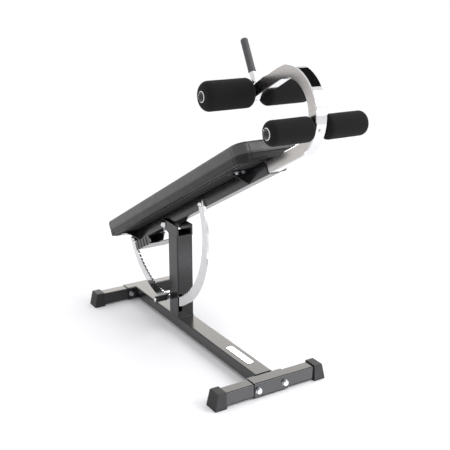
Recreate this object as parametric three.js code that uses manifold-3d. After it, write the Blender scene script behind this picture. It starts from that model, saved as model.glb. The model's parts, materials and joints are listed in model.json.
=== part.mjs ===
// Adjustable abdominal bench: a floor beam with two foot bars, a post with a tilting pad frame,
// and a chrome hook with four foam rollers that telescopes into the pad frame.
//
// Frame: millimetres, +X along the floor beam towards the hook, +Y across the bench, +Z up.
// The origin is on the floor, under the middle of the bench's overall box.
import * as THREE from 'three';
import { mergeVertices } from 'three/addons/utils/BufferGeometryUtils.js';
import Module from 'manifold-3d';

const wasm = await Module();
wasm.setup();

// ---------------------------------------------------------------- driving dimensions
const GAP = 0.3;              // kept between pieces that touch
const SHIFT = 2.06;           // brings the origin under the middle of the overall box
const BEAM_SIZE = { y: 76, z: 48, wall: 3, bottom: 19 };
const FOOT_BAR_FRONT_X = 438 - SHIFT;
const FOOT_BAR_SPACING = 1104;
const SLEEVE = { x: 57, z: 61, wall: 3, length: 152 };
const LEG = { x: 50, z: 54, wall: 2.5, inner: 6, outer: 231 };
const LEG_CENTRE_Z = 34;
const FOOT_CAP = {
  inner: 200, bottomOuter: 250, topOuter: 236.5, top: 66, topHalf: 30, bottomHalf: 34, bevel: 2,
};
const LEG_BOLT = { y: 60, shank: 6, washer: 12, hex: 19, head: 8 };
const POST = { x: -239 - SHIFT, depth: 82, width: 76, wall: 3, top: 441 };
const SLOT = { y0: -36.2, y1: -19, front: [96, 178], rear: [78, 160] };
const PIVOT = { x: -319 - SHIFT, z: 469, bolt: 8 };
const TILT_DEG = 27.3;        // pad frame above the horizontal, as stored
const BRACKET = { inner: 30, plate: 8, base: 4, top: 488, round: 22 };
const BADGE = { x: 240, length: 165, width: 30, thick: 1.6 };

// The pad frame, the hook and the rollers are drawn in the tilted frame: origin on the pivot
// axis, +X up along the pad, +Z square to the pad.
const SPAR = { size: 50, wall: 2.5, bottom: -14, low: -392, mouth: 864 };
const SPAR_TOP = SPAR.bottom + SPAR.size;
const SPAR_MID = SPAR.bottom + SPAR.size / 2;
const BUSH_RADIUS = 12;
const BOARD = { low: -391, high: 871, half: 112, thick: 14.7 };
const CUSHION = { low: -401, high: 881, half: 130, bottom: 37.5, top: 109, corner: 26, edge: 10 };
const ARC = { x: -8, z: 25, inner: 348, outer: 391, thick: 8, near: -34.3, endDeg: 1, boltX: 363, boltZ: 6 };
const NOTCH = { radius: 5, pitchDeg: 3.4, firstDeg: -177, count: 31 };
const WING = { web: 4, flange: 37, reach: 105, lip: 4.4, boltOffset: 22 };
const FRONT_WING = { name: 'front', x: 731, outward: 1, bolts: { inner: 49, outer: 76 } };
const REAR_WING = { name: 'rear', x: -309, outward: -1, bolts: { outer: 70 } };
const SHOE = {
  low: -266, high: -103, half: 75, bottom: -63, nearTop: -24, farTop: -46, slots: 4, slot: 8,
  stemBottom: 24, stemTop: 43, rim: 46,
};
const HOOK = { size: 44, wall: 2.5, bend: 133, bendX: 1058, inside: 650, armEnd: 856, edge: 3 };
const HOOK_TOP = SPAR_MID + 2 * HOOK.bend;
const BEND_Z = SPAR_MID + HOOK.bend;
const AXLE = 8;
const UPPER_ROLLER = { x: 884, z: HOOK_TOP, radius: 53, inner: 26, outer: 219, round: 26 };
const LOWER_ROLLER_DEG = -41.6;
const LOWER_ROLLER = {
  x: HOOK.bendX + HOOK.bend * Math.cos(THREE.MathUtils.degToRad(LOWER_ROLLER_DEG)),
  z: BEND_Z + HOOK.bend * Math.sin(THREE.MathUtils.degToRad(LOWER_ROLLER_DEG)),
  radius: 42, inner: 26, outer: 190, round: 19,
};
const HANDLE = { x: 890, rod: 11, grip: 13.5, gripLow: 348, top: 474 };
const PULL_PIN = { x: 842, radius: 6, barrel: 12, barrelEnd: 42, knob: 18, knobEnd: 67 };
// The latch hangs behind the post; depths are measured back from the post's rear face.
const LATCH = {
  guideDepth: 34, guideLow: 169, guideHigh: 240, near: 4, far: 26, spindle: 15,
  pawlLow: 150, pawlHigh: 158, sliderTop: 212, gripZ: 134, gripEnd: -106, gripRadius: 13.5,
};

// ---------------------------------------------------------------- materials
function paint(color, roughness, metalness) {
  return new THREE.MeshStandardMaterial({ color, roughness, metalness });
}

const blackPaint = () => paint(0x2b2b2e, 0.25, 0.3);
const chrome = () => paint(0xd9dadc, 0.08, 1.0);
const satinChrome = () => paint(0xbfbcb8, 0.3, 1.0);
const zinc = () => paint(0xc4c6c8, 0.35, 0.9);
const rubber = () => paint(0x1c1c1d, 0.85, 0.0);
const foam = () => paint(0x232324, 0.95, 0.0);
const vinyl = () => paint(0x3a3a3c, 0.5, 0.0);
const plastic = () => paint(0x18181a, 0.3, 0.0);
const plywood = () => paint(0x2a2a2a, 0.8, 0.0);

// ---------------------------------------------------------------- solids and booleans
const X_AXIS = new THREE.Vector3(1, 0, 0);
const Y_AXIS = new THREE.Vector3(0, 1, 0);
const Z_AXIS = new THREE.Vector3(0, 0, 1);
// Where a flat outline's x, its y and its thickness point, for a piece that lies along an axis.
const LIE = {
  x: [Y_AXIS, Z_AXIS, X_AXIS],
  y: [X_AXIS, Z_AXIS, Y_AXIS.clone().negate()],
  z: [X_AXIS, Y_AXIS, Z_AXIS],
};

function toManifold(geometry) {
  const bare = geometry.clone();
  bare.deleteAttribute('normal');
  bare.deleteAttribute('uv');
  const merged = mergeVertices(bare, 1e-4);
  const mesh = new wasm.Mesh({
    numProp: 3,
    vertProperties: new Float32Array(merged.attributes.position.array),
    triVerts: new Uint32Array(merged.index.array),
  });
  return new wasm.Manifold(mesh);
}

function toGeometry(manifold) {
  const mesh = manifold.getMesh();
  const geometry = new THREE.BufferGeometry();
  geometry.setAttribute('position', new THREE.BufferAttribute(new Float32Array(mesh.vertProperties), 3));
  geometry.setIndex(new THREE.BufferAttribute(new Uint32Array(mesh.triVerts), 1));
  return geometry;
}

function join(...pieces) {
  return toGeometry(pieces.map(toManifold).reduce((whole, piece) => whole.add(piece)));
}

function cut(piece, ...tools) {
  return toGeometry(tools.map(toManifold).reduce((rest, tool) => rest.subtract(tool), toManifold(piece)));
}

// ---------------------------------------------------------------- simple shapes
function block(x0, x1, y0, y1, z0, z1) {
  const geometry = new THREE.BoxGeometry(x1 - x0, y1 - y0, z1 - z0);
  return geometry.translate((x0 + x1) / 2, (y0 + y1) / 2, (z0 + z1) / 2);
}

function roundedRectangle(width, height, radius) {
  const a = width / 2;
  const b = height / 2;
  const shape = new THREE.Shape();
  shape.moveTo(-a + radius, -b);
  shape.lineTo(a - radius, -b);
  shape.absarc(a - radius, -b + radius, radius, -Math.PI / 2, 0);
  shape.lineTo(a, b - radius);
  shape.absarc(a - radius, b - radius, radius, 0, Math.PI / 2);
  shape.lineTo(-a + radius, b);
  shape.absarc(-a + radius, b - radius, radius, Math.PI / 2, Math.PI);
  shape.lineTo(-a, -b + radius);
  shape.absarc(-a + radius, -b + radius, radius, Math.PI, 1.5 * Math.PI);
  return shape;
}

// An outline given thickness along an axis, centred on the origin along that axis.
function prism(shape, thickness, axis, options = {}) {
  const settings = { depth: thickness, bevelEnabled: false, curveSegments: 2, ...options };
  if (settings.bevelEnabled) {
    settings.depth = thickness - 2 * settings.bevelThickness;
    settings.bevelOffset = -settings.bevelSize;
  }
  const geometry = new THREE.ExtrudeGeometry(shape, settings);
  geometry.translate(0, 0, -settings.depth / 2);
  return geometry.applyMatrix4(new THREE.Matrix4().makeBasis(...LIE[axis]));
}

// A rectangular steel tube with open ends, lying along an axis.
function steelTube(width, height, wall, length, axis) {
  const shape = roundedRectangle(width, height, wall + 2);
  shape.holes.push(roundedRectangle(width - 2 * wall, height - 2 * wall, 2));
  return prism(shape, length, axis);
}

function rod(radius, from, to, axis, segments = 18) {
  const geometry = new THREE.CylinderGeometry(radius, radius, to - from, segments);
  geometry.translate(0, (from + to) / 2, 0);
  if (axis === 'x') {
    geometry.rotateZ(-Math.PI / 2);
  }
  if (axis === 'z') {
    geometry.rotateX(Math.PI / 2);
  }
  return geometry;
}

// A profile of [radius, height] points turned about the Y axis.
function turned(profile, segments = 20) {
  return new THREE.LatheGeometry(profile.map(([r, y]) => new THREE.Vector2(r, y)), segments);
}

function roundedEnd(radius, round, y, outward, steps) {
  const points = [];
  for (let i = 0; i <= steps; i += 1) {
    const angle = (i / steps) * Math.PI / 2;
    points.push([radius - round + round * Math.cos(angle), y + outward * round * (Math.sin(angle) - 1)]);
  }
  return points;
}

const bench = new THREE.Group();

function add(parent, name, geometry, material, x = 0, y = 0, z = 0) {
  const mesh = new THREE.Mesh(geometry, material);
  mesh.name = name;
  mesh.position.set(x, y, z);
  parent.add(mesh);
  return mesh;
}

// ---------------------------------------------------------------- floor frame
// Rubber cap on a leg's end, narrower at the top than at the floor.
function footCap(side) {
  const corners = [0, FOOT_CAP.bevel, FOOT_CAP.top - FOOT_CAP.bevel, FOOT_CAP.top].flatMap((z) => {
    const inset = z === 0 || z === FOOT_CAP.top ? FOOT_CAP.bevel : 0;
    const share = z / FOOT_CAP.top;
    const half = THREE.MathUtils.lerp(FOOT_CAP.bottomHalf, FOOT_CAP.topHalf, share) - inset;
    const end = THREE.MathUtils.lerp(FOOT_CAP.bottomOuter, FOOT_CAP.topOuter, share) - inset;
    return [-1, 1].flatMap((hand) => [
      [hand * half, side * FOOT_CAP.inner, z],
      [hand * half, side * (end - FOOT_CAP.bevel), z],
      [hand * (half - FOOT_CAP.bevel), side * end, z],
    ]);
  });
  const shell = toGeometry(wasm.Manifold.hull(corners));
  const ends = [side * (FOOT_CAP.inner - 1), side * (LEG.outer + GAP)].sort((a, b) => a - b);
  const half = LEG.x / 2 + GAP;
  const low = LEG_CENTRE_Z - LEG.z / 2 - GAP;
  return cut(shell, block(-half, half, ...ends, low, low + LEG.z + 2 * GAP));
}

// Bolt with washers and nut through a foot-bar sleeve and the leg inside it, along X.
function legBolt() {
  const face = SLEEVE.x / 2 + GAP;
  const hexRadius = LEG_BOLT.hex / Math.sqrt(3);
  return join(
    rod(LEG_BOLT.shank, -face - 12, face + 3, 'x', 12),
    rod(LEG_BOLT.washer, face, face + 2, 'x'),
    rod(hexRadius, face + 1.5, face + 2 + LEG_BOLT.head, 'x', 6),
    rod(LEG_BOLT.washer, -face - 2, -face, 'x'),
    rod(hexRadius, -face - 10, -face - 1.5, 'x', 6),
  );
}

function footBar(end, x) {
  const holes = [-LEG_BOLT.y, LEG_BOLT.y].map(
    (y) => rod(LEG_BOLT.shank + GAP, -60, 60, 'x', 12).translate(0, y, 0),
  );
  const sleeve = cut(steelTube(SLEEVE.x, SLEEVE.z, SLEEVE.wall, SLEEVE.length, 'y'), ...holes);
  add(bench, `${end}_sleeve`, sleeve, blackPaint(), x, 0, LEG_CENTRE_Z);
  [['left', -1], ['right', 1]].forEach(([hand, side]) => {
    const leg = steelTube(LEG.x, LEG.z, LEG.wall, LEG.outer - LEG.inner, 'y');
    leg.translate(0, side * (LEG.outer + LEG.inner) / 2, 0);
    add(bench, `${end}_${hand}_leg`, cut(leg, ...holes), blackPaint(), x, 0, LEG_CENTRE_Z);
    add(bench, `${end}_${hand}_foot_cap`, footCap(side), rubber(), x, 0, 0);
    add(bench, `${end}_${hand}_leg_bolt`, legBolt(), zinc(), x, side * LEG_BOLT.y, LEG_CENTRE_Z);
  });
}

function baseBeam() {
  const length = FOOT_BAR_SPACING - SLEEVE.x - 2 * GAP;
  const x = FOOT_BAR_FRONT_X - FOOT_BAR_SPACING / 2;
  const z = BEAM_SIZE.bottom + BEAM_SIZE.z / 2;
  const tube = steelTube(BEAM_SIZE.y, BEAM_SIZE.z, BEAM_SIZE.wall, length, 'x');
  add(bench, 'base_beam', tube, blackPaint(), x, 0, z);
}

// Plain rounded plate on top of the beam.
function badge() {
  const plate = prism(roundedRectangle(BADGE.length, BADGE.width, 8), BADGE.thick, 'z', { curveSegments: 3 });
  const beamTop = BEAM_SIZE.bottom + BEAM_SIZE.z;
  add(bench, 'beam_plate', plate, satinChrome(), BADGE.x, 0, beamTop + GAP + BADGE.thick / 2);
}

function post() {
  const bottom = BEAM_SIZE.bottom + BEAM_SIZE.z + GAP;
  const shaft = steelTube(POST.depth, POST.width, POST.wall, POST.top - bottom, 'z');
  shaft.translate(POST.x, 0, (POST.top + bottom) / 2);
  const front = block(POST.x, POST.x + POST.depth, SLOT.y0, SLOT.y1, ...SLOT.front);
  const rear = block(POST.x - POST.depth, POST.x, SLOT.y0, SLOT.y1, ...SLOT.rear);
  add(bench, 'post', cut(shaft, front, rear), blackPaint());
}

function pivotBracket() {
  const low = POST.top + GAP;
  const front = POST.x + POST.depth / 2;
  const rear = POST.x - POST.depth / 2;
  const cheek = new THREE.Shape();
  cheek.moveTo(front, low);
  cheek.lineTo(front, BRACKET.top);
  cheek.lineTo(PIVOT.x, PIVOT.z + BRACKET.round);
  cheek.absarc(PIVOT.x, PIVOT.z, BRACKET.round, Math.PI / 2, 1.5 * Math.PI);
  cheek.lineTo(rear, low);
  cheek.closePath();
  const offset = BRACKET.inner + BRACKET.plate / 2;
  const cheeks = [-offset, offset].map(
    (y) => prism(cheek, BRACKET.plate, 'y', { curveSegments: 10 }).translate(0, y, 0),
  );
  const base = block(rear, front, -offset, offset, low, low + BRACKET.base);
  const hole = rod(PIVOT.bolt + GAP, -60, 60, 'y').translate(PIVOT.x, 0, PIVOT.z);
  add(bench, 'pivot_bracket', cut(join(...cheeks, base), hole), blackPaint());
}

function pivotBolt() {
  const face = BRACKET.inner + BRACKET.plate + GAP;
  const boltProfile = [
    [0, -face - 13], [9, -face - 11.5], [15, -face - 7.5], [18, -face - 3], [18, -face - 2],
    [19.5, -face - 2], [19.5, -face], [PIVOT.bolt, -face], [PIVOT.bolt, face + 5], [0, face + 5],
  ];
  add(bench, 'pivot_bolt', turned(boltProfile), chrome(), PIVOT.x, 0, PIVOT.z);
  const bore = PIVOT.bolt + 0.1;
  const nutProfile = [
    [bore, face], [19.5, face], [19.5, face + 2], [16, face + 2], [16, face + 5], [13, face + 9],
    [7, face + 11.5], [0, face + 12], [0, face + 6], [bore, face + 6], [bore, face],
  ];
  add(bench, 'pivot_nut', turned(nutProfile), chrome(), PIVOT.x, 0, PIVOT.z);
}

// ---------------------------------------------------------------- latch behind the post
function latch() {
  const rear = POST.x - POST.depth / 2 - GAP;
  const back = rear - LATCH.guideDepth;
  const guide = cut(
    block(back, rear, -18, 22, LATCH.guideLow, LATCH.guideHigh),
    block(back + 3.5, rear - 3.5, -14, 18, LATCH.guideLow - 10, LATCH.guideHigh - 5),
  );
  add(bench, 'latch_guide', guide, blackPaint());

  const x0 = rear - LATCH.far;
  const x1 = rear - LATCH.near;
  const spindleX = rear - LATCH.spindle;
  const slider = block(x0 - 2, x1 - 1, -13, 17, LATCH.pawlLow, LATCH.sliderTop);
  const pawl = block(x0, x1 - 1, -46, 17, LATCH.pawlLow, LATCH.pawlHigh);
  const hanger = block(x0, x1 - 1, -46, -38, LATCH.gripZ - 8, LATCH.pawlHigh);
  const spindle = rod(6, -102, -40, 'y', 16).translate(spindleX, 0, LATCH.gripZ);
  add(bench, 'latch_pawl', join(slider, pawl, hanger, spindle), zinc());

  const bore = 6.2;
  const gripStart = -46.5;
  const gripProfile = [
    [bore, -102.4], [LATCH.gripRadius - 1.5, -102.4], [LATCH.gripRadius, -100.5],
    [LATCH.gripRadius, gripStart - 1.5], [LATCH.gripRadius - 1.5, gripStart], [bore, gripStart],
    [bore, -102.4],
  ];
  add(bench, 'latch_grip', turned(gripProfile), rubber(), spindleX, 0, LATCH.gripZ);
  const capProfile = [
    [0, LATCH.gripEnd], [6, LATCH.gripEnd + 0.5], [11.5, LATCH.gripEnd + 2.2], [11.5, -102.8], [0, -102.8],
  ];
  add(bench, 'latch_grip_cap', turned(capProfile), chrome(), spindleX, 0, LATCH.gripZ);
}

// ---------------------------------------------------------------- pad frame
const padFrame = new THREE.Group();
padFrame.position.set(PIVOT.x, 0, PIVOT.z);
padFrame.rotation.y = -THREE.MathUtils.degToRad(TILT_DEG);
bench.add(padFrame);

const ARC_ENDS = [ARC.x - ARC.boltX, ARC.x + ARC.boltX];

function spar() {
  const length = SPAR.mouth - SPAR.low;
  const tube = steelTube(SPAR.size, SPAR.size, SPAR.wall, length, 'x');
  tube.translate((SPAR.mouth + SPAR.low) / 2, 0, SPAR_MID);
  const wallInside = SPAR.size / 2 - 1;
  const barrel = rod(PULL_PIN.barrel, wallInside, PULL_PIN.barrelEnd, 'y').translate(PULL_PIN.x, 0, SPAR_MID);
  const pinHole = rod(PULL_PIN.radius + GAP, 10, 60, 'y').translate(PULL_PIN.x, 0, SPAR_MID);
  const boltHoles = ARC_ENDS.map((x) => rod(5 + GAP, -40, -10, 'y', 12).translate(x, 0, ARC.boltZ));
  const bush = rod(BUSH_RADIUS, -BRACKET.inner + 0.5, BRACKET.inner - 0.5, 'y');
  const bore = rod(PIVOT.bolt + GAP, -40, 40, 'y');
  add(padFrame, 'spar', cut(join(tube, barrel, bush), pinHole, bore, ...boltHoles), blackPaint());

  const inner = SPAR.size - 2 * SPAR.wall - 2;
  const stem = block(SPAR.low - 1, SPAR.low + 10, -inner / 2, inner / 2, -inner / 2, inner / 2);
  const face = prism(roundedRectangle(SPAR.size, SPAR.size, 4), 4, 'x').translate(SPAR.low - 2 - GAP, 0, 0);
  add(padFrame, 'spar_end_plug', join(stem, face), plastic(), 0, 0, SPAR_MID);
}

// Stop under the spar that lands on the pivot bracket's floor when the pad is level.
function levelStop() {
  const top = SPAR.bottom - GAP;
  const outline = new THREE.Shape();
  outline.moveTo(-30, top);
  outline.lineTo(-16, top - 8.5);
  outline.lineTo(22, top - 8.5);
  outline.lineTo(86, top - 4);
  outline.lineTo(112, top);
  outline.closePath();
  add(padFrame, 'level_stop', prism(outline, SPAR.size - 2, 'y'), rubber());
}

// Gusset with a flange under the pad board, on one side of the spar. The flange turns outward from
// the web.
function wing(place, hand, side) {
  const root = SPAR.size / 2 + GAP;
  const top = SPAR_TOP - GAP;
  const web = new THREE.Shape();
  web.moveTo(side * root, SPAR.bottom + 1);
  web.lineTo(side * root, top);
  web.lineTo(side * WING.reach, top);
  web.lineTo(side * WING.reach, top - WING.lip);
  web.lineTo(side * (WING.reach - 20), top - WING.lip - 2);
  web.closePath();
  const plate = prism(web, WING.web, 'x').translate(place.x, 0, 0);
  const xs = [place.x - place.outward * WING.web / 2, place.x + place.outward * WING.flange];
  xs.sort((a, b) => a - b);
  const ys = [side * root, side * WING.reach].sort((a, b) => a - b);
  const flange = block(...xs, ...ys, top - WING.web, top);
  const holes = Object.values(place.bolts).map((y) => wingBoltHole(place, side * y));
  const name = `${place.name}_${hand}_wing`;
  add(padFrame, name, cut(join(plate, flange), ...holes), blackPaint());

  const head = top - WING.web - GAP;
  Object.entries(place.bolts).forEach(([position, y]) => {
    const bolt = join(
      rod(4, head - 1, SPAR_TOP + 9, 'z', 12),
      rod(10, head - 2, head, 'z', 16),
      rod(7.5, head - 8, head - 1.5, 'z', 6),
    );
    add(padFrame, `${name}_${position}_bolt`, bolt, zinc(), wingBoltX(place), side * y, 0);
  });
}

function wingBoltX(place) {
  return place.x + place.outward * WING.boltOffset;
}

function wingBoltHole(place, y) {
  return rod(4 + GAP, SPAR.bottom, SPAR_TOP + 10, 'z', 12).translate(wingBoltX(place), y, 0);
}

function pad() {
  const boardBottom = SPAR_TOP + GAP;
  const boardTop = boardBottom + BOARD.thick;
  const sockets = [FRONT_WING, REAR_WING].flatMap((place) => Object.values(place.bolts).flatMap(
    (y) => [wingBoltHole(place, -y), wingBoltHole(place, y)],
  ));
  const board = block(BOARD.low, BOARD.high, -BOARD.half, BOARD.half, boardBottom, boardTop);
  add(padFrame, 'pad_board', cut(board, ...sockets), plywood());

  const length = CUSHION.high - CUSHION.low;
  const outline = roundedRectangle(length, 2 * CUSHION.half, CUSHION.corner);
  const rounding = {
    bevelEnabled: true,
    bevelThickness: CUSHION.edge,
    bevelSize: CUSHION.edge,
    bevelSegments: 2,
    curveSegments: 4,
  };
  const shell = prism(outline, CUSHION.top - CUSHION.bottom, 'z', rounding);
  shell.translate((CUSHION.high + CUSHION.low) / 2, 0, (CUSHION.top + CUSHION.bottom) / 2);
  const side = BOARD.half + GAP;
  const recess = block(BOARD.low - GAP, BOARD.high + GAP, -side, side, 0, boardTop + GAP);
  add(padFrame, 'pad_cushion', cut(shell, recess), vinyl());
}

// Plate in the shape of half a ring below the spar's near side, with notches along part of its inner edge.
function toothedArc() {
  const end = THREE.MathUtils.degToRad(ARC.endDeg);
  const outline = new THREE.Shape();
  outline.absarc(0, 0, ARC.outer, -end, -Math.PI + end, true);
  outline.absarc(0, 0, ARC.inner, -Math.PI + end, -end, false);
  outline.closePath();
  const plate = prism(outline, ARC.thick, 'y', { curveSegments: 22 });
  plate.translate(ARC.x, ARC.near + ARC.thick / 2, ARC.z);
  const notches = [];
  for (let i = 0; i < NOTCH.count; i += 1) {
    const angle = THREE.MathUtils.degToRad(NOTCH.firstDeg + i * NOTCH.pitchDeg);
    const notch = rod(NOTCH.radius, -50, 0, 'y', 8);
    const x = ARC.x + ARC.inner * Math.cos(angle);
    notches.push(notch.translate(x, 0, ARC.z + ARC.inner * Math.sin(angle)));
  }
  const holes = ARC_ENDS.map((x) => rod(5 + GAP, -50, 0, 'y', 12).translate(x, 0, ARC.boltZ));
  add(padFrame, 'toothed_arc', cut(plate, ...notches, ...holes), chrome());

  const face = ARC.near - GAP;
  const profile = [
    [0, face - 9], [7, face - 8], [11.5, face - 5], [13, face - 2], [15, face - 2], [15, face], [5, face],
    [5, -14], [0, -14],
  ];
  add(padFrame, 'arc_low_bolt', turned(profile), chrome(), ARC_ENDS[0], 0, ARC.boltZ);
  add(padFrame, 'arc_high_bolt', turned(profile), chrome(), ARC_ENDS[1], 0, ARC.boltZ);
}

// Ribbed tread shoe hung on a tapered stem under the low half of the spar. Its near wall is the tall one.
function restShoe() {
  const plateTop = SHOE.bottom + 6;
  const plate = block(SHOE.low, SHOE.high, -SHOE.half, SHOE.half, SHOE.bottom, plateTop);
  const nearWall = block(SHOE.low, SHOE.high, -SHOE.half, -SHOE.half + 6, SHOE.bottom, SHOE.nearTop);
  const farWall = block(SHOE.low, SHOE.high, SHOE.half - 6, SHOE.half, SHOE.bottom, SHOE.farTop);
  const pitch = (SHOE.high - SHOE.low) / (SHOE.slots + 1);
  const grooves = [];
  for (let i = 1; i <= SHOE.slots; i += 1) {
    const x0 = SHOE.low + i * pitch - SHOE.slot / 2;
    const x1 = x0 + SHOE.slot;
    const low = SHOE.bottom - 1;
    grooves.push(block(x0, x1, -SHOE.half - 1, SHOE.half + 1, low, SHOE.bottom + 3));
    grooves.push(block(x0, x1, -SHOE.half - 1, -SHOE.half + 3, low, SHOE.nearTop + 1));
    grooves.push(block(x0, x1, SHOE.half - 3, SHOE.half + 1, low, SHOE.farTop + 1));
  }
  add(padFrame, 'rest_shoe', cut(join(plate, nearWall, farWall), ...grooves), plastic());

  const low = plateTop + GAP;
  const high = SPAR.bottom - GAP;
  const profile = [
    [0, low], [SHOE.stemBottom, low], [SHOE.stemTop, high - 5], [SHOE.rim, high - 4], [SHOE.rim, high - 1],
    [SHOE.rim - 1, high], [0, high],
  ];
  const stem = turned(profile, 28).rotateX(Math.PI / 2);
  add(padFrame, 'rest_shoe_stem', stem, plastic(), (SHOE.low + SHOE.high) / 2, 0, 0);
}

// ---------------------------------------------------------------- hook, axles and rollers
function hookOutline(half, inside, armEnd) {
  const shape = new THREE.Shape();
  shape.moveTo(inside, SPAR_MID - half);
  shape.lineTo(HOOK.bendX, SPAR_MID - half);
  shape.absarc(HOOK.bendX, BEND_Z, HOOK.bend + half, -Math.PI / 2, Math.PI / 2);
  shape.lineTo(armEnd, HOOK_TOP + half);
  shape.lineTo(armEnd, HOOK_TOP - half);
  shape.lineTo(HOOK.bendX, HOOK_TOP - half);
  shape.absarc(HOOK.bendX, BEND_Z, HOOK.bend - half, Math.PI / 2, -Math.PI / 2, true);
  shape.lineTo(inside, SPAR_MID + half);
  shape.closePath();
  return shape;
}

function hook() {
  const half = HOOK.size / 2;
  const bevel = {
    bevelEnabled: true, bevelThickness: HOOK.edge, bevelSize: HOOK.edge, bevelSegments: 1, curveSegments: 16,
  };
  const outer = prism(hookOutline(half, HOOK.inside, HOOK.armEnd), HOOK.size, 'y', bevel);
  const hollow = prism(
    hookOutline(half - HOOK.wall, HOOK.inside - 5, HOOK.armEnd - 5),
    HOOK.size - 2 * HOOK.wall, 'y', { curveSegments: 16 },
  );
  const axleHoles = [UPPER_ROLLER, LOWER_ROLLER].map(
    (place) => rod(AXLE + GAP, -40, 40, 'y').translate(place.x, 0, place.z),
  );
  const screwHole = rod(4 + GAP, 0, 60, 'x', 12);
  aimOutward(screwHole);
  add(padFrame, 'hook_tube', cut(cut(outer, hollow), ...axleHoles, screwHole), satinChrome());

  add(padFrame, 'upper_axle', rod(AXLE, -218, 218, 'y'), chrome(), UPPER_ROLLER.x, 0, UPPER_ROLLER.z);
  add(padFrame, 'lower_axle', rod(AXLE, -189, 189, 'y'), chrome(), LOWER_ROLLER.x, 0, LOWER_ROLLER.z);

  const screw = join(rod(4, AXLE + 1, half + 1, 'x', 12), rod(7, half + GAP, half + 4, 'x', 16));
  aimOutward(screw);
  add(padFrame, 'lower_axle_screw', screw, chrome());

  const inner = half - HOOK.wall - 0.5;
  const stem = block(HOOK.armEnd - 1, HOOK.armEnd + 12, -inner, inner, -inner, inner);
  const face = prism(roundedRectangle(HOOK.size, HOOK.size, 4), 3, 'x');
  face.translate(HOOK.armEnd - 1.5 - GAP, 0, 0);
  add(padFrame, 'hook_end_plug', join(stem, face), plastic(), 0, 0, HOOK_TOP);
}

// Turns a piece made along +X so that it points out of the hook's bend through the lower axle.
function aimOutward(geometry) {
  geometry.rotateY(-THREE.MathUtils.degToRad(LOWER_ROLLER_DEG));
  geometry.translate(LOWER_ROLLER.x, 0, LOWER_ROLLER.z);
}

function handle() {
  const base = HOOK_TOP + HOOK.size / 2 + GAP;
  add(padFrame, 'handle_rod', rod(HANDLE.rod, base, HANDLE.top - 6, 'z', 24), chrome(), HANDLE.x, 0, 0);
  const bore = HANDLE.rod + 0.2;
  const dome = roundedEnd(HANDLE.grip, 7, HANDLE.top, 1, 4);
  const profile = [
    [bore, HANDLE.gripLow], [HANDLE.grip, HANDLE.gripLow], ...dome, [0, HANDLE.top], [0, HANDLE.top - 5],
    [bore, HANDLE.top - 5], [bore, HANDLE.gripLow],
  ];
  const grip = turned(profile).rotateX(Math.PI / 2);
  add(padFrame, 'handle_grip', grip, rubber(), HANDLE.x, 0, 0);
}

function roller(name, size, side) {
  const bore = AXLE + 0.5;
  const steps = 3;
  const inner = roundedEnd(size.radius, size.round, size.inner, -1, steps);
  const outer = roundedEnd(size.radius, size.round, size.outer, 1, steps);
  const profile = [[bore, size.inner], ...inner.reverse(), ...outer, [bore, size.outer], [bore, size.inner]];
  const sleeve = turned(profile);
  const cap = turned([
    [0, size.outer + GAP], [20, size.outer + GAP], [20, size.outer + 2], [17.5, size.outer + 3.4],
    [13, size.outer + 3.4], [10, size.outer + 8], [0, size.outer + 10],
  ]);
  if (side < 0) {
    sleeve.rotateX(Math.PI);
    cap.rotateX(Math.PI);
  }
  add(padFrame, `${name}_foam`, sleeve, foam(), size.x, 0, size.z);
  add(padFrame, `${name}_cap`, cap, chrome(), size.x, 0, size.z);
}

function pullPin() {
  const tip = HOOK.size / 2 + GAP;
  const knobStart = PULL_PIN.barrelEnd + GAP;
  const profile = [
    [0, tip], [PULL_PIN.radius, tip], [PULL_PIN.radius, knobStart], [PULL_PIN.knob - 3, knobStart],
    [PULL_PIN.knob, knobStart + 3], [PULL_PIN.knob - 1, PULL_PIN.knobEnd - 3],
    [PULL_PIN.knob - 5, PULL_PIN.knobEnd], [0, PULL_PIN.knobEnd],
  ];
  add(padFrame, 'pull_pin', turned(profile), plastic(), PULL_PIN.x, 0, SPAR_MID);
}

// ---------------------------------------------------------------- assembly
footBar('front', FOOT_BAR_FRONT_X);
footBar('rear', FOOT_BAR_FRONT_X - FOOT_BAR_SPACING);
baseBeam();
badge();
post();
pivotBracket();
pivotBolt();
latch();
spar();
levelStop();
[['left', -1], ['right', 1]].forEach(([hand, side]) => {
  wing(FRONT_WING, hand, side);
  wing(REAR_WING, hand, side);
});
pad();
toothedArc();
restShoe();
hook();
handle();
[['left', -1], ['right', 1]].forEach(([hand, side]) => {
  roller(`upper_${hand}_roller`, UPPER_ROLLER, side);
  roller(`lower_${hand}_roller`, LOWER_ROLLER, side);
});
pullPin();

export default bench;
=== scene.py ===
"""Looks of the adjustable abdominal bench: camera, studio, materials and soft parts on the CAD frame."""

import math
import random

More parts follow.
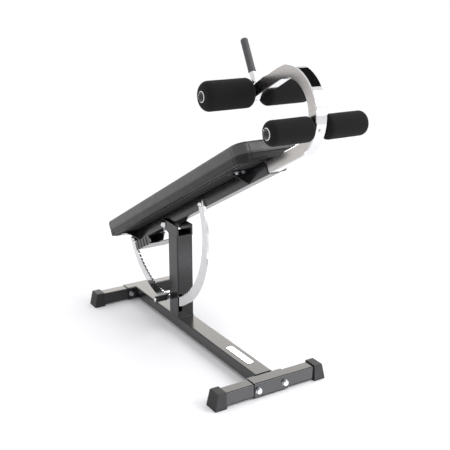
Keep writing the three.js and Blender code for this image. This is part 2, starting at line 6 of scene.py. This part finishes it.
import bmesh
import bpy
import numpy as np
from mathutils import Euler, Matrix, Vector, noise
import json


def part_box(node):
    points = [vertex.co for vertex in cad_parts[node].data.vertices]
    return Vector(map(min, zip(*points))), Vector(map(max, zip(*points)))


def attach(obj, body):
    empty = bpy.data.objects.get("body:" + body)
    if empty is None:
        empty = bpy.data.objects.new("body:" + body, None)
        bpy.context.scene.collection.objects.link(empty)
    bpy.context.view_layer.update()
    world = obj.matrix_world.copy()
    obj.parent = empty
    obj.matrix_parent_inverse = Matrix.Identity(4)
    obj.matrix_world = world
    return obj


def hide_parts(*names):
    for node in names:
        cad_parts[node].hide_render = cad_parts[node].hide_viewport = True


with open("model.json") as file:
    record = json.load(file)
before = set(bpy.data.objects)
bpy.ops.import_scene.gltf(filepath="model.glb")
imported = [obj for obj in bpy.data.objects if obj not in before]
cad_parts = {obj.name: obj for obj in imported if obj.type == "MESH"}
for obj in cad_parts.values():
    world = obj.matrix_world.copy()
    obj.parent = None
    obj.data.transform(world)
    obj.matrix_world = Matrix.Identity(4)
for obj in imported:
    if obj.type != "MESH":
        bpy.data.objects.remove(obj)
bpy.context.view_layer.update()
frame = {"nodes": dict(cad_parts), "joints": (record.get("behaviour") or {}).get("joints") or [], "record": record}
nodes = frame["nodes"]
joints = {j["name"]: j for j in frame["joints"]}
MM = 0.001
random.seed(7)

# The tilted frame of the pad: its origin is on the pivot, x runs up the pad, z is square to it. Millimetres.
pivot = Vector(joints["pad_tilt"]["pos_m"])
along = Vector(joints["hook_slide"]["axis"])
across = Vector((0, 1, 0))
square = along.cross(across)
PAD = Matrix((
    (along.x, across.x, square.x, pivot.x),
    (along.y, across.y, square.y, pivot.y),
    (along.z, across.z, square.z, pivot.z),
    (0, 0, 0, 1),
)) @ Matrix.Scale(MM, 4)
WORLD = Matrix.Scale(MM, 4)


# ---------------------------------------------------------------- camera
def make_camera():
    data = bpy.data.cameras.new("camera")
    data.sensor_width = 36.0
    data.lens = 64.18
    data.clip_end = 400
    camera = bpy.data.objects.new("camera", data)
    camera.location = (2.66504, -1.5549, 1.5239)
    camera.rotation_euler = Euler((math.radians(72.38), 0, math.radians(58.49)))
    bpy.context.scene.collection.objects.link(camera)
    bpy.context.scene.camera = camera


# ---------------------------------------------------------------- materials
class Nodes:
    """A node material with a Principled shader, built up a layer at a time."""

    def __init__(self, name):
        self.material = bpy.data.materials.new(name)
        self.material.use_nodes = True
        self.tree = self.material.node_tree
        self.shader = self.tree.nodes["Principled BSDF"]
        self.coordinates = self.tree.nodes.new("ShaderNodeTexCoord").outputs["Object"]

    def link(self, a, b):
        self.tree.links.new(a, b)

    def stretched(self, scale):
        mapping = self.tree.nodes.new("ShaderNodeMapping")
        mapping.inputs["Scale"].default_value = scale
        self.link(self.coordinates, mapping.inputs["Vector"])
        return mapping.outputs["Vector"]

    def noise(self, scale, detail=3.0, vector=None):
        node = self.tree.nodes.new("ShaderNodeTexNoise")
        node.inputs["Scale"].default_value = scale
        node.inputs["Detail"].default_value = detail
        node.inputs["Roughness"].default_value = 0.55
        self.link(vector or self.coordinates, node.inputs["Vector"])
        return node.outputs["Fac"]

    def cells(self, scale, vector=None, feature="DISTANCE_TO_EDGE"):
        node = self.tree.nodes.new("ShaderNodeTexVoronoi")
        node.feature = feature
        node.inputs["Scale"].default_value = scale
        self.link(vector or self.coordinates, node.inputs["Vector"])
        return node.outputs["Distance"]

    def ranged(self, value, low, high, from_low=0.3, from_high=0.7):
        node = self.tree.nodes.new("ShaderNodeMapRange")
        node.inputs["From Min"].default_value = from_low
        node.inputs["From Max"].default_value = from_high
        node.inputs["To Min"].default_value = low
        node.inputs["To Max"].default_value = high
        self.link(value, node.inputs["Value"])
        return node.outputs["Result"]

    def mixed(self, value, first, second):
        node = self.tree.nodes.new("ShaderNodeMix")
        node.data_type = "RGBA"
        self.link(value, node.inputs["Factor"])
        for socket, colour in zip((node.inputs[6], node.inputs[7]), (first, second)):
            if isinstance(colour, bpy.types.NodeSocket):
                self.link(colour, socket)
            else:
                socket.default_value = (*colour, 1)
        return node.outputs[2]

    def bump(self, height, distance, strength, normal=None):
        node = self.tree.nodes.new("ShaderNodeBump")
        node.inputs["Strength"].default_value = strength
        node.inputs["Distance"].default_value = distance
        self.link(height, node.inputs["Height"])
        if normal:
            self.link(normal, node.inputs["Normal"])
        return node.outputs["Normal"]

    def set(self, **values):
        for name, value in values.items():
            socket = self.shader.inputs[name.replace("_", " ")]
            if isinstance(value, bpy.types.NodeSocket):
                self.link(value, socket)
            elif isinstance(value, tuple):
                socket.default_value = (*value, 1)
            else:
                socket.default_value = value
        return self


def powder_coat():
    m = Nodes("black_powder_coat")
    patches = m.ranged(m.noise(14, 4), 0, 1)
    m.set(
        Base_Color=m.mixed(patches, (0.006, 0.006, 0.007), (0.011, 0.011, 0.012)),
        Roughness=m.ranged(m.noise(60, 4), 0.17, 0.24),
        Specular_IOR_Level=0.5,
        Normal=m.bump(m.noise(850, 2), 0.00005, 0.5),
    )
    return m.material


def polished_chrome():
    m = Nodes("polished_chrome")
    fine = m.noise(900, 2, m.stretched((1, 0.06, 1)))
    m.set(
        Base_Color=m.mixed(m.ranged(m.noise(25), 0, 1), (0.60, 0.60, 0.60), (0.68, 0.68, 0.68)),
        Metallic=1.0,
        Roughness=m.ranged(m.noise(90, 5), 0.05, 0.13),
        Normal=m.bump(fine, 0.00002, 0.25),
    )
    return m.material


def satin_hook():
    """Brushed on its flat sides and polished round its rims; the flat sides' darker brushed tone is their finish,
    their warm tint a painted reflection of the beam and floor.
    """
    m = Nodes("satin_hook")
    normal = m.tree.nodes.new("ShaderNodeSeparateXYZ")
    coordinates = m.tree.nodes.new("ShaderNodeTexCoord")
    m.link(coordinates.outputs["Normal"], normal.inputs["Vector"])
    sideways = m.tree.nodes.new("ShaderNodeMath")
    sideways.operation = "ABSOLUTE"
    m.link(normal.outputs["Y"], sideways.inputs[0])
    side = m.ranged(sideways.outputs["Value"], 0, 1, 0.55, 0.9)
    brushing = m.noise(500, 4, m.stretched((0.2, 1, 0.2)))
    # Flat sides: brushed finish, with a warm tint that is a painted reflection of the beam and floor.
    brushed_flat_and_reflection = m.mixed(m.ranged(brushing, 0, 1), (0.46, 0.44, 0.42), (0.56, 0.54, 0.52))
    m.set(
        Base_Color=m.mixed(side, (0.72, 0.72, 0.73), brushed_flat_and_reflection),
        Metallic=1.0,
        Roughness=m.ranged(side, 0.07, 0.22, 0, 1),
        Normal=m.bump(brushing, 0.00003, 0.4),
    )
    return m.material


def bright_zinc():
    m = Nodes("bright_zinc")
    m.set(
        Base_Color=m.mixed(m.ranged(m.noise(120, 5), 0, 1), (0.42, 0.43, 0.46), (0.56, 0.57, 0.59)),
        Metallic=1.0,
        Roughness=m.ranged(m.noise(300, 4), 0.18, 0.34),
        Normal=m.bump(m.noise(1500, 2), 0.00004, 0.4),
    )
    return m.material


def moulded_rubber():
    m = Nodes("moulded_rubber")
    grain = m.noise(1300, 3)
    m.set(
        Base_Color=m.mixed(m.ranged(m.noise(40, 4), 0, 1), (0.008, 0.008, 0.009), (0.016, 0.015, 0.016)),
        Roughness=m.ranged(m.noise(200, 3), 0.48, 0.62),
        Specular_IOR_Level=0.4,
        Normal=m.bump(grain, 0.00012, 0.5),
    )
    return m.material


def handle_rubber():
    m = Nodes("handle_rubber")
    m.set(
        Base_Color=m.mixed(m.ranged(m.noise(60, 4), 0, 1), (0.045, 0.045, 0.048), (0.065, 0.065, 0.068)),
        Roughness=m.ranged(m.noise(240, 3), 0.42, 0.56),
        Normal=m.bump(m.noise(1600, 3), 0.00010, 0.5),
    )
    return m.material


def roller_foam():
    m = Nodes("roller_foam")
    pores = m.cells(700, feature="F1")
    soft = m.noise(1100, 4)
    bumped = m.bump(soft, 0.0005, 0.7, m.bump(pores, 0.0004, 0.5))
    m.set(
        Base_Color=m.mixed(m.ranged(soft, 0, 1), (0.0045, 0.0045, 0.0045), (0.012, 0.0115, 0.0115)),
        Roughness=0.93,
        Specular_IOR_Level=0.12,
        Sheen_Weight=0.03,
        Sheen_Roughness=0.6,
        Normal=bumped,
    )
    return m.material


def upholstery_vinyl():
    """Grained vinyl, with painted shade below the cover's lower seam: darker and duller there."""
    m = Nodes("upholstery_vinyl")
    height = m.tree.nodes.new("ShaderNodeVectorMath")
    height.operation = "DOT_PRODUCT"
    height.inputs[1].default_value = square
    m.link(m.coordinates, height.inputs[0])
    seam = pivot.dot(square) + LOWER_SEAM
    # Painted shade: below the lower seam the cover is made darker and duller.
    painted_shade_band = m.ranged(height.outputs["Value"], 0, 1, seam - 0.0015, seam + 0.0005)
    warp = m.noise(260, 3)
    creases = m.ranged(m.cells(420), 0, 1, 0.0, 0.16)
    pebble = m.noise(1500, 3)
    grain = m.bump(pebble, 0.00008, 0.5, m.bump(creases, 0.00016, 0.55))
    cover = m.mixed(m.ranged(warp, 0, 1), (0.018, 0.018, 0.0185), (0.028, 0.028, 0.028))
    m.set(
        Base_Color=m.mixed(painted_shade_band, (0.006, 0.006, 0.006), cover),
        Roughness=m.ranged(m.noise(35, 4), 0.36, 0.46),
        Specular_IOR_Level=m.ranged(painted_shade_band, 0.25, 0.7, 0, 1),
        Sheen_Weight=0.04,
        Sheen_Roughness=0.5,
        Normal=grain,
    )
    return m.material


def gloss_plastic():
    m = Nodes("gloss_plastic")
    m.set(
        Base_Color=m.mixed(m.ranged(m.noise(30, 3), 0, 1), (0.004, 0.004, 0.0045), (0.008, 0.008, 0.0085)),
        Roughness=m.ranged(m.noise(150, 3), 0.07, 0.13),
        Normal=m.bump(m.noise(900, 2), 0.00003, 0.4),
    )
    return m.material


def lining_cloth():
    m = Nodes("lining_cloth")
    fibres = m.noise(900, 4, m.stretched((1, 3, 1)))
    m.set(
        Base_Color=m.mixed(m.ranged(fibres, 0, 1), (0.012, 0.012, 0.012), (0.030, 0.030, 0.030)),
        Roughness=0.95,
        Specular_IOR_Level=0.2,
        Normal=m.bump(fibres, 0.0003, 0.6),
    )
    return m.material


def paint_nodes(looks):
    for record in frame["record"]["subparts"]:
        node = nodes[record["node"]]
        look = looks[record["material_slot"]]
        if not node.material_slots:
            node.data.materials.append(look)
        for slot in node.material_slots:
            slot.material = look


# ---------------------------------------------------------------- mesh helpers
def piece(name, mesh, look, body, smooth=True):
    """Links a finished mesh as a piece that rides on a body."""
    obj = bpy.data.objects.new(name, mesh)
    bpy.context.scene.collection.objects.link(obj)
    mesh.materials.append(look)
    for polygon in mesh.polygons:
        polygon.use_smooth = smooth
    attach(obj, body)
    return obj


def mesh_of(name, vertices, faces, matrix=WORLD):
    mesh = bpy.data.meshes.new(name)
    mesh.from_pydata([matrix @ Vector(v) for v in vertices], [], faces)
    mesh.validate()
    bm = bmesh.new()
    bm.from_mesh(mesh)
    bmesh.ops.recalc_face_normals(bm, faces=bm.faces)
    bm.to_mesh(mesh)
    bm.free()
    return mesh


def loft(rings, closed_ends=True):
    """Vertices and faces of a skin over rings of equal length."""
    count = len(rings[0])
    vertices = [p for ring in rings for p in ring]
    faces = []
    for i in range(len(rings) - 1):
        for j in range(count):
            k = (j + 1) % count
            below, above = i * count, (i + 1) * count
            faces.append((below + j, below + k, above + k, above + j))
    if closed_ends:
        faces.append(tuple(range(count))[::-1])
        faces.append(tuple((len(rings) - 1) * count + j for j in range(count)))
    return vertices, faces


def lathe(profile, segments, place):
    """A turned skin from pairs of radius and height. place(x, y, h) gives a point in millimetres."""
    rings = []
    for radius, height in profile:
        rings.append([
            place(radius * math.cos(a), radius * math.sin(a), height)
            for a in (2 * math.pi * i / segments for i in range(segments))
        ])
    return loft(rings)


def rounded_outline(x0, x1, half, radii, steps=8):
    """Closed plan outline with its own corner radius at the low and high ends."""
    low, high = radii
    corners = [
        (x1 - high, half - high, high, 0), (x0 + low, half - low, low, 90),
        (x0 + low, -half + low, low, 180), (x1 - high, -half + high, high, 270),
    ]
    points = []
    for cx, cy, radius, start in corners:
        for i in range(steps + 1):
            a = math.radians(start + 90 * i / steps)
            points.append((cx + radius * math.cos(a), cy + radius * math.sin(a)))
    return points


def bead(path, radius, closed=False, pitch=2.6):
    """A weld bead: a rippled round rod along a polyline, in millimetres."""
    points = []
    corners = [Vector(p) for p in path]
    if closed:
        corners.append(corners[0])
    for a, b in zip(corners, corners[1:]):
        count = max(2, int((b - a).length / (pitch / 2)))
        points += [a.lerp(b, i / count) for i in range(count)]
    if not closed:
        points.append(corners[-1])
    rings = []
    for i, p in enumerate(points):
        ahead = points[(i + 1) % len(points)] if closed or i + 1 < len(points) else p
        behind = points[i - 1] if closed or i > 0 else p
        direction = (ahead - behind).normalized()
        u = direction.orthogonal().normalized()
        v = direction.cross(u)
        size = radius * (1.0 + (0.14 if i % 2 else -0.10) + 0.08 * (random.random() - 0.5))
        angles = (math.pi * k / 4 for k in range(8))
        rings.append([p + (u * math.cos(a) + v * math.sin(a)) * size for a in angles])
    if closed:
        rings.append(rings[0])
    return loft(rings, closed_ends=not closed)


def merged(parts):
    vertices, faces = [], []
    for v, f in parts:
        faces += [tuple(i + len(vertices) for i in face) for face in f]
        vertices += v
    return vertices, faces


# ---------------------------------------------------------------- pad
# The cover before it swells, in millimetres of the pad's frame.
COVER = {"low": -400, "high": 880, "half": 129.5, "corners": (10, 44)}
# Inset and height of its outline, from the hem under the board up to the crown's edge.
COVER_LEVELS = [
    (17.5, 52.6), (17.5, 37.8), (5, 37.6), (2.5, 38.4), (1.6, 42), (0.8, 54), (0, 66), (0, 72), (0, 101),
    (1, 106), (4, 110), (13, 112),
]
# Its sewn joins, in metres of the same frame.
LOWER_SEAM = 0.069
LOW_FOLD, HIGH_FOLD, END_FOLD = -0.388, 0.834, 0.084
# Height, width and depth of the grooves round the cover.
GROOVES = ((LOWER_SEAM, 0.0026, 0.0030), (0.0560, 0.0018, 0.0012), (0.0436, 0.0016, 0.0010))


def inset_ring(x0, x1, half, radii, inset, z):
    shrunk = tuple(max(2.0, r - inset) for r in radii)
    return [(x, y, z) for x, y in rounded_outline(x0 + inset, x1 - inset, half - inset, shrunk)]


def swell(obj, limit, pressure, frozen):
    """Cloth under pressure, applied to the mesh, with no point moved further than limit metres."""
    before = np.array([v.co for v in obj.data.vertices], float)
    pins = obj.vertex_groups.new(name="pins")
    pins.add([int(i) for i in np.nonzero(frozen(before))[0]], 1.0, "REPLACE")
    modifier = obj.modifiers.new("cloth", "CLOTH")
    settings = modifier.settings
    settings.quality = 5
    settings.mass = 0.3
    settings.vertex_group_mass = "pins"
    settings.use_pressure = True
    settings.uniform_pressure_force = pressure
    settings.tension_stiffness = 30
    settings.compression_stiffness = 30
    settings.shear_stiffness = 15
    settings.bending_stiffness = 1.5
    settings.effector_weights.gravity = 0
    modifier.point_cache.frame_start = 1
    modifier.point_cache.frame_end = 20
    scene = bpy.context.scene
    for number in range(1, 21):
        scene.frame_set(number)
    shaped = obj.evaluated_get(bpy.context.evaluated_depsgraph_get())
    after = np.array([v.co for v in shaped.data.vertices], float)
    obj.modifiers.remove(modifier)
    scene.frame_set(1)
    move = after - before
    length = np.linalg.norm(move, axis=1, keepdims=True)
    move *= np.minimum(1.0, limit / np.maximum(length, 1e-9))
    obj.data.vertices.foreach_set("co", (before + move).astype(np.float32).ravel())
    obj.data.update()


def apply_modifier(obj, kind, **values):
    modifier = obj.modifiers.new(kind.lower(), kind)
    for name, value in values.items():
        setattr(modifier, name, value)
    shaped = obj.evaluated_get(bpy.context.evaluated_depsgraph_get())
    mesh = bpy.data.meshes.new_from_object(shaped)
    obj.modifiers.clear()
    obj.data = mesh


def make_cushion(look):
    """Foam under a sewn cover: the panels swell between the seams, which hold their line."""
    outline = (COVER["low"], COVER["high"], COVER["half"], COVER["corners"])
    rings = [inset_ring(*outline, inset, z) for inset, z in COVER_LEVELS]
    vertices, faces = loft(rings)
    mesh = mesh_of("pad_cover", vertices, faces, WORLD)
    obj = bpy.data.objects.new("pad_cover", mesh)
    bpy.context.scene.collection.objects.link(obj)
    apply_modifier(obj, "REMESH", mode="VOXEL", voxel_size=0.0048)
    swell(obj, 0.006, 4.0, seam_lines)
    apply_modifier(obj, "SUBSURF", levels=1)
    co = np.array([v.co for v in obj.data.vertices], float)
    co += seam_grooves(co)
    obj.data.vertices.foreach_set("co", co.astype(np.float32).ravel())
    obj.data.transform(PAD @ Matrix.Scale(1 / MM, 4))
    obj.data.materials.clear()
    obj.data.materials.append(look)
    for polygon in obj.data.polygons:
        polygon.use_smooth = True
    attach(obj, "pad_frame")
    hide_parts("pad_cushion")


def seam_lines(p):
    """True for points of the cover that are stapled down or lie on a sewn join."""
    x, y, z = p[:, 0], np.abs(p[:, 1]), p[:, 2]
    stapled = z < 0.0535
    sewn = np.abs(z - LOWER_SEAM) < 0.003
    round_corner = (x > 0.836) & (np.hypot(x - 0.836, y - 0.0855) > 0.036)
    rim = (z > 0.102) & ((y > 0.117) | (x < LOW_FOLD) | (x > 0.868) | round_corner)
    upright = (y > 0.112) & ((x < LOW_FOLD) | (np.abs(x - HIGH_FOLD) < 0.005))
    return stapled | sewn | rim | upright


def seam_grooves(co):
    """Pulls the cover in along its sewn joins and over the edge of the board."""
    move = np.zeros_like(co)
    x, y, z = co.T
    side = np.abs(y) > 0.118
    end = (x > 0.868) | (x < LOW_FOLD)
    outward_y = np.where(side, np.sign(y), 0.0)
    outward_x = np.where(end, np.sign(x), 0.0)
    around = (z > 0.0385) & (z < 0.1)
    for height, width, depth in GROOVES:
        pull = depth * np.exp(-((z - height) / width) ** 2)
        move[:, 0] -= np.where(around, outward_x * pull, 0)
        move[:, 1] -= np.where(around, outward_y * pull, 0)
    for place in (HIGH_FOLD, LOW_FOLD):
        pull = 0.0017 * np.exp(-((x - place) / 0.0026) ** 2)
        move[:, 1] -= np.where(around & side, outward_y * pull, 0)
    for place in (END_FOLD, -END_FOLD):
        pull = 0.0015 * np.exp(-((y - place) / 0.0026) ** 2)
        move[:, 0] -= np.where(around & end, outward_x * pull, 0)
    return move


def make_hem(cover, metal):
    """The cover's turned-under hem on the board, with its staples."""
    section = ((0, 36.0), (5, 36.0), (5, 35.4), (0, 35.4))
    rings = [inset_ring(-391, 871, 112, (6, 6), inset, z) for inset, z in section]
    vertices, faces = loft(rings + [rings[0]], closed_ends=False)
    piece("cover_hem", mesh_of("cover_hem", vertices, faces, PAD), cover, "pad_frame")
    parts = []
    for side in (-1, 1):
        for i in range(30):
            x = -372 + i * 42 + random.uniform(-3, 3)
            parts.append(bead([(x, side * 109.2, 35.2), (x + 9, side * 109.6, 35.2)], 0.55))
    vertices, faces = merged(parts)
    piece("cover_staples", mesh_of("cover_staples", vertices, faces, PAD), metal, "pad_frame")


# ---------------------------------------------------------------- rollers and grips
# Radius and height of the domed plug in a roller's cap, above the foam's end. Millimetres.
DOME = [
    (17.3, 2.3), (17.3, 3.5), (16.6, 3.8), (13.4, 3.7), (12.6, 4.6), (12.1, 6.6), (10.9, 8.7), (8.7, 10.8),
    (5.6, 12.2), (0.3, 12.8),
]


def make_roller(name, body, look, dome_look, segments=72):
    low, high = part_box(name + "_foam")
    radius = (high.x - low.x) / 2 / MM
    centre = ((low.x + high.x) / 2 / MM, (low.z + high.z) / 2 / MM)
    side = 1 if low.y > 0 else -1
    inner, outer = sorted((abs(low.y) / MM, abs(high.y) / MM))
    edge = 0.5 * radius
    bore = 9.0
    profile = [(bore, inner + 2.5), (bore + 4, inner + 0.8), (bore + 9, inner)]
    for i in range(7):
        a = math.pi / 2 * i / 6
        profile.append((radius - edge + edge * math.sin(a), inner + edge * 0.75 * (1 - math.cos(a))))
    length = outer - inner - 1.75 * edge
    profile += [(radius, inner + 0.75 * edge + length * i / 16) for i in range(1, 16)]
    for i in range(9):
        a = math.pi / 2 * i / 8
        profile.append((radius - edge + edge * math.cos(a), outer - edge + edge * math.sin(a)))
    profile += [(bore + 9, outer), (bore, outer - 0.6)]
    vertices, faces = lathe(profile, segments, lambda x, z, h: (centre[0] + x, side * h, centre[1] + z))
    soft = []
    for v in vertices:
        p = Vector(v)
        axis = Vector((centre[0], p.y, centre[1]))
        out = p - axis
        ripple = 0.35 * noise.noise(p * 0.035) + 0.18 * noise.noise(p * 0.16)
        soft.append(axis + out * (1 - 0.004 + 0.9 * (ripple - 0.2) / radius))
    foam = piece(name + "_sleeve", mesh_of(name, soft, faces), look, body)
    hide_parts(name + "_foam")

    dome = [(r, outer + h) for r, h in DOME]
    vertices, faces = lathe(dome, 48, lambda x, z, h: (centre[0] + x, side * h, centre[1] + z))
    piece(name + "_dome", mesh_of(name + "_dome", vertices, faces), dome_look, body)


def make_handle_grip(look):
    """Moulded grip with fine rings and a rounded end, pushed onto the handle rod."""
    low, base, top, radius = 890, 348, 474, 13.4
    profile = [
        (11.4, base + 0.4), (radius - 0.6, base + 0.4), (radius + 0.6, base + 1.6),
        (radius + 0.6, base + 4.5), (radius - 0.2, base + 6),
    ]
    height = base + 7.5
    while height < top - 16:
        profile += [(radius, height), (radius - 0.35, height + 1.4), (radius - 0.35, height + 1.9)]
        height += 3.3
    for i in range(9):
        a = math.pi / 2 * i / 8
        profile.append((0.3 + (radius - 0.3) * math.cos(a), top - 10 + 9.8 * math.sin(a)))
    vertices, faces = lathe(profile, 48, lambda x, y, h: (low + x, y, h))
    mesh = mesh_of("handle_grip_cover", vertices, faces, PAD)
    grip = piece("handle_grip_cover", mesh, look, "hook")
    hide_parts("handle_grip")


def make_latch_grip(look):
    low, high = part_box("latch_grip")
    cx, cz = (low.x + high.x) / 2 / MM, (low.z + high.z) / 2 / MM
    start, end = low.y / MM, high.y / MM
    radius = (high.z - low.z) / 2 / MM
    profile = [(6.4, start), (radius - 1.4, start + 0.1), (radius, start + 1.6)]
    height = start + 4
    while height < end - 4:
        ring = [(radius, 0), (radius - 0.5, 1.2), (radius - 0.5, 1.8), (radius, 3)]
        profile += [(r, height + h) for r, h in ring]
        height += 4.2
    profile += [(radius, end - 1.5), (radius - 1.4, end), (6.4, end)]
    vertices, faces = lathe(profile, 40, lambda x, z, h: (cx + x, h, cz + z))
    grip = piece("latch_grip_cover", mesh_of("latch_grip_cover", vertices, faces), look, "latch")
    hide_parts("latch_grip")


# Half width and outer end of a rubber foot at the floor, and how much it loses by its top. Millimetres.
FOOT = {"half": 34, "half_taper": 4, "end": 250, "end_taper": 13.5}


def make_foot_ribs(look):
    """Fine moulded ribs round each rubber foot, following its taper."""
    for name in sorted(n for n in nodes if n.endswith("_foot_cap")):
        low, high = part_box(name)
        centre = (low.x + high.x) / 2 / MM
        side = 1 if low.y > 0 else -1
        height = high.z / MM
        near = min(abs(low.y), abs(high.y)) / MM + 1.5
        parts = []
        z = 6.5
        while z < height - 5:
            half = FOOT["half"] - FOOT["half_taper"] * z / height
            end = FOOT["end"] - FOOT["end_taper"] * z / height
            loops = []
            for inset, dz in ((0.5, -0.9), (-0.4, -0.4), (-0.4, 0.4), (0.5, 0.9)):
                h, e = half - inset, end - inset
                plan = [(-h, near), (-h, e - 2), (-h + 2, e), (h - 2, e), (h, e - 2), (h, near)]
                loops.append([(centre + x, side * y, z + dz) for x, y in plan])
            faces = [(i * 6 + j, i * 6 + j + 1, (i + 1) * 6 + j + 1, (i + 1) * 6 + j)
                     for i in range(3) for j in range(5)]
            parts.append(([p for loop in loops for p in loop], faces))
            z += 3.6
        vertices, faces = merged(parts)
        piece(name + "_ribs", mesh_of(name + "_ribs", vertices, faces), look, "base", smooth=False)


# ---------------------------------------------------------------- welds
def make_welds(look):
    post_low, post_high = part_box("post")
    beam_low, beam_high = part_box("base_beam")
    x0, x1 = post_low.x / MM, post_high.x / MM
    z = beam_high.z / MM + 0.4
    foot = bead([(x0 - 1, -37, z), (x1 + 1, -37, z), (x1 + 1, 37, z), (x0 - 1, 37, z)], 1.9, closed=True)
    top = post_high.z / MM + 0.2
    head = bead([(x0, -37.5, top), (x1, -37.5, top)], 1.3)
    head2 = bead([(x1 + 0.3, -37, top), (x1 + 0.3, 37, top)], 1.3)
    parts = [foot, head, head2]
    b0, b1 = beam_low.x / MM, beam_high.x / MM
    zl, zh = beam_low.z / MM, beam_high.z / MM
    for x in (b0, b1):
        parts.append(bead([(x, -38, zl + 6), (x, -38, zh - 7)], 1.8))
        parts.append(bead([(x, 38, zl + 6), (x, 38, zh - 7)], 1.8))
    vertices, faces = merged(parts)
    piece("base_welds", mesh_of("base_welds", vertices, faces), look, "base")

    parts = []
    for x in (-309, 731):
        for side in (-1, 1):
            for dx in (-2.4, 2.4):
                parts.append(bead([(x + dx, side * 25.3, -10), (x + dx, side * 25.3, 30)], 1.2))
    vertices, faces = merged(parts)
    piece("wing_welds", mesh_of("wing_welds", vertices, faces, PAD), look, "pad_frame")


# ---------------------------------------------------------------- studio
def make_studio():
    scene = bpy.context.scene
    scene.view_settings.view_transform = "Standard"
    world = bpy.data.worlds.new("studio")
    scene.world = world
    world.use_nodes = True
    world.node_tree.nodes["Background"].inputs["Color"].default_value = (0.99, 0.99, 1.0, 1)
    world.node_tree.nodes["Background"].inputs["Strength"].default_value = 1.12

    reach = 120
    mesh = bpy.data.meshes.new("floor")
    mesh.from_pydata([(-reach, -reach, 0), (reach, -reach, 0), (reach, reach, 0), (-reach, reach, 0)], [],
                     [(0, 1, 2, 3)])
    floor = bpy.data.objects.new("floor", mesh)
    scene.collection.objects.link(floor)
    m = Nodes("studio_floor")
    m.set(Base_Color=(0.90, 0.90, 0.91), Roughness=0.9, Specular_IOR_Level=0.1)
    mesh.materials.append(m.material)

    softbox("key_light", (2.5, 1.9, 2.6), 1.9, 1.5, 48)
    softbox("top_light", (0.4, 1.0, 3.6), 1.6, 1.6, 14).visible_glossy = False

    dark = Nodes("dark_card")
    dark.set(Base_Color=(0.01, 0.01, 0.01), Roughness=1.0, Specular_IOR_Level=0.0)
    card("dark_ceiling", (0.05, 2.1, 3.9), (0.75, 0.0, 1.2), 4.4, 2.2, dark.material)
    warm = glowing("bright_backdrop", 3.6, (1.0, 0.97, 0.93))
    card("bright_backdrop", (-3.8, 2.2, 1.9), (0.0, 0.0, 0.4), 3.4, 3.2, warm)
    edge = glowing("edge_card", 11.0, (1.0, 1.0, 1.0))
    card("edge_card", (2.9, 1.3, 1.25), (0.45, 0.0, 0.1), 1.3, 0.7, edge)
    cool = glowing("bright_floor_front", 3.2, (0.97, 0.97, 1.0))
    rug("bright_floor_front", (0.475, 0.75), (-0.4, 0.6), cool)


def glowing(name, strength, colour):
    m = Nodes(name)
    m.set(Base_Color=(0.0, 0.0, 0.0), Specular_IOR_Level=0.0)
    m.set(Emission_Color=colour, Emission_Strength=strength)
    return m.material


def aimed(obj, location, target):
    obj.location = location
    obj.rotation_euler = (Vector(location) - Vector(target)).to_track_quat("Z", "Y").to_euler()


def softbox(name, location, width, height, power):
    light = bpy.data.lights.new(name, "AREA")
    light.shape = "RECTANGLE"
    light.size = width
    light.size_y = height
    light.energy = power
    obj = bpy.data.objects.new(name, light)
    aimed(obj, location, (0, 0, 0.6))
    bpy.context.scene.collection.objects.link(obj)
    return obj


def card(name, location, target, width, height, look):
    """A panel that only reflections see."""
    w, h = width / 2, height / 2
    obj = reflected_only(name, [(-w, -h, 0), (w, -h, 0), (w, h, 0), (-w, h, 0)], look)
    aimed(obj, location, target)


def rug(name, xs, ys, look):
    """A patch of floor that reflections see brighter than the rest."""
    z = 0.002
    reflected_only(name, [(xs[0], ys[0], z), (xs[1], ys[0], z), (xs[1], ys[1], z), (xs[0], ys[1], z)], look)


def reflected_only(name, corners, look):
    mesh = bpy.data.meshes.new(name)
    mesh.from_pydata(corners, [], [(0, 1, 2, 3)])
    mesh.materials.append(look)
    obj = bpy.data.objects.new(name, mesh)
    bpy.context.scene.collection.objects.link(obj)
    obj.visible_camera = False
    obj.visible_diffuse = False
    obj.visible_shadow = False
    return obj


# ---------------------------------------------------------------- put together
make_camera()
LOOKS = {
    "black_paint": powder_coat(),
    "chrome": polished_chrome(),
    "satin_chrome": satin_hook(),
    "zinc": bright_zinc(),
    "rubber": moulded_rubber(),
    "foam": roller_foam(),
    "vinyl": upholstery_vinyl(),
    "plastic": gloss_plastic(),
    "plywood": lining_cloth(),
}
paint_nodes(LOOKS)
make_cushion(LOOKS["vinyl"])
make_hem(LOOKS["vinyl"], LOOKS["zinc"])
for end in ("upper", "lower"):
    for hand in ("left", "right"):
        roller = f"{end}_{hand}_roller"
        make_roller(roller, roller, LOOKS["foam"], LOOKS["plastic"])
make_handle_grip(handle_rubber())
make_latch_grip(LOOKS["rubber"])
make_foot_ribs(LOOKS["rubber"])
make_welds(LOOKS["black_paint"])
make_studio()
